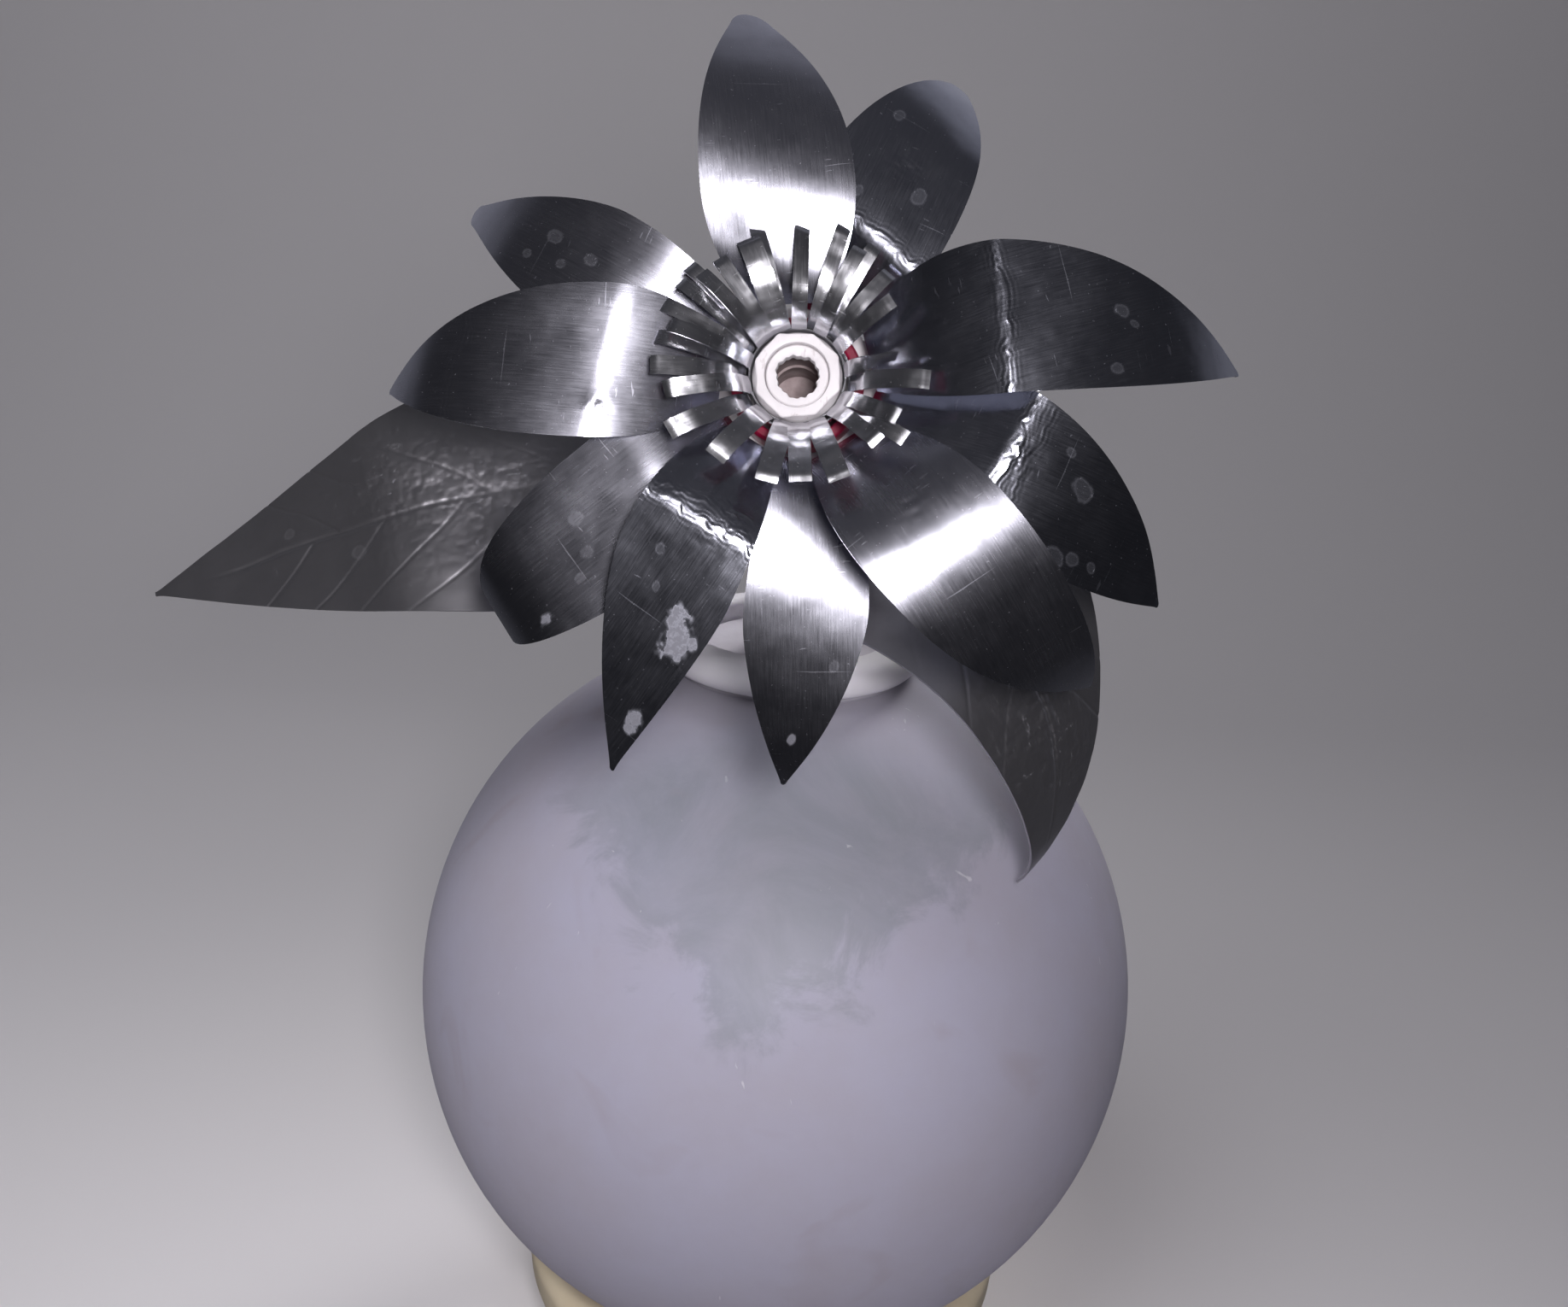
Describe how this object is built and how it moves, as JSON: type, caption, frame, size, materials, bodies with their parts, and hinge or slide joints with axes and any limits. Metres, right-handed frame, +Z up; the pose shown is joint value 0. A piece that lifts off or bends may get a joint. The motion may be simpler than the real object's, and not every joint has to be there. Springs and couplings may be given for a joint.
{
  "type": "metal flower in a globe vase",
  "caption": "Flower of bent aluminium sheet on a curved plastic pipe, with two long leaves, standing in a frosted globe vase on a ring stand.",
  "frame": {"origin": "centre of the stand's foot, on the surface it stands on", "axes": "+Z up; the flower looks towards -Y and 23 degrees up; +X is to the right of a viewer who faces the flower"},
  "size_m": [0.2532, 0.2261, 0.3714],
  "materials": {
    "aluminium_sheet": "hand-worked, satin to glossy",
    "frosted_glass": "frosted white",
    "cream_plastic": "cream, semi-gloss",
    "white_plastic": "matte white",
    "grey_board": "matte pale grey",
    "brown_lining": "matte",
    "red_plastic": "glossy dark red",
    "tie_strip": "dull strip"
  },
  "bodies": {
    "stand": {"ring_stand": "cream_plastic"},
    "globe": {"glass_globe": "frosted_glass"},
    "plug": {"neck_plug": "grey_board"},
    "stem": {"stem_pipe": "white_plastic", "leaf_left": "aluminium_sheet", "leaf_right": "aluminium_sheet", "leaf_right_tie": "tie_strip", "leaf_left_tie": "tie_strip", "end_bung": "white_plastic", "pipe_lining": "brown_lining"},
    "head": {"red_collar": "red_plastic", "back_washer": "white_plastic", "fringe_front": "aluminium_sheet", "fringe_back": "aluminium_sheet", "petal_01": "aluminium_sheet", "petal_02": "aluminium_sheet", "petal_03": "aluminium_sheet", "petal_04": "aluminium_sheet", "petal_05": "aluminium_sheet", "petal_06": "aluminium_sheet", "petal_07": "aluminium_sheet", "petal_08": "aluminium_sheet", "petal_09": "aluminium_sheet", "petal_10": "aluminium_sheet"}
  },
  "joints": [
    {"name": "globe_lift", "type": "slide", "parent": "stand", "child": "globe", "axis": [0, 0, 1], "range_m": [0, 0.06]},
    {"name": "plug_lift", "type": "slide", "parent": "globe", "child": "plug", "axis": [0, 0, 1], "range_m": [0, 0.06]},
    {"name": "stem_turn", "type": "hinge", "parent": "plug", "child": "stem", "pos_m": [0, 0, 0.2228], "axis": [0, 0, 1], "continuous": true},
    {"name": "head_turn", "type": "hinge", "parent": "stem", "child": "head", "pos_m": [-0.00209, -0.09958, 0.30998], "axis": [-0.0193, -0.9203, 0.3907], "continuous": true}
  ]
}
